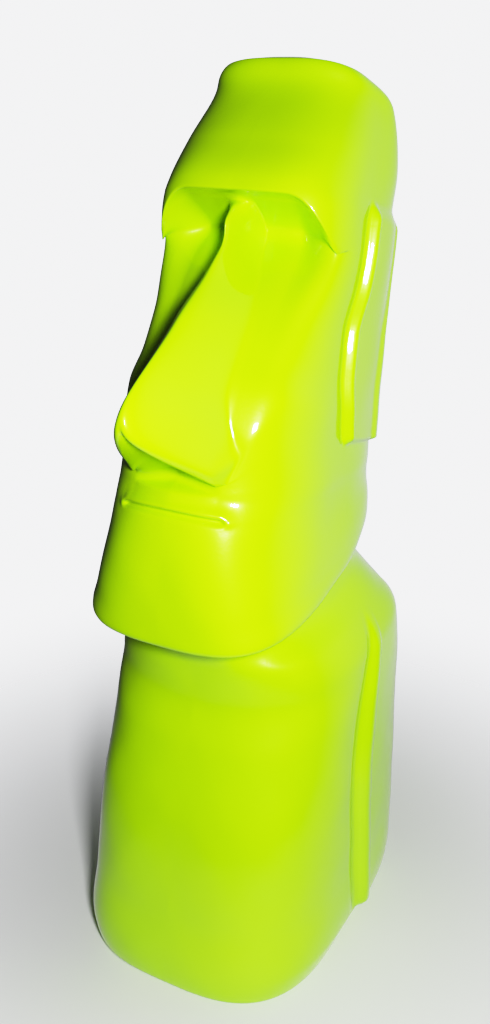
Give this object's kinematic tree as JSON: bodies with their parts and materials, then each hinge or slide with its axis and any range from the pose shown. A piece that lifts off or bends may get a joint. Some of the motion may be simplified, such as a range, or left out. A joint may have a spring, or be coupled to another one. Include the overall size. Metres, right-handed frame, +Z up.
{
  "type": "decorative moai statue",
  "caption": "Moai head-and-torso figure in glossy lime-green lacquer: long face, overhanging brow, wedge nose, panel ears, arms held at the sides and a flat base.",
  "frame": {"origin": "on the flat underside, under the body, in the left-right mirror plane", "axes": "-Y is the way the face looks, +X is the statue's own left, +Z is up"},
  "size_m": [0.1986, 0.249, 0.6],
  "materials": {
    "lime_lacquer": "opaque lime-green lacquer polished to a high gloss over a cast resin body"
  },
  "bodies": {
    "root": {"moai_body": "lime_lacquer"}
  },
  "joints": []
}
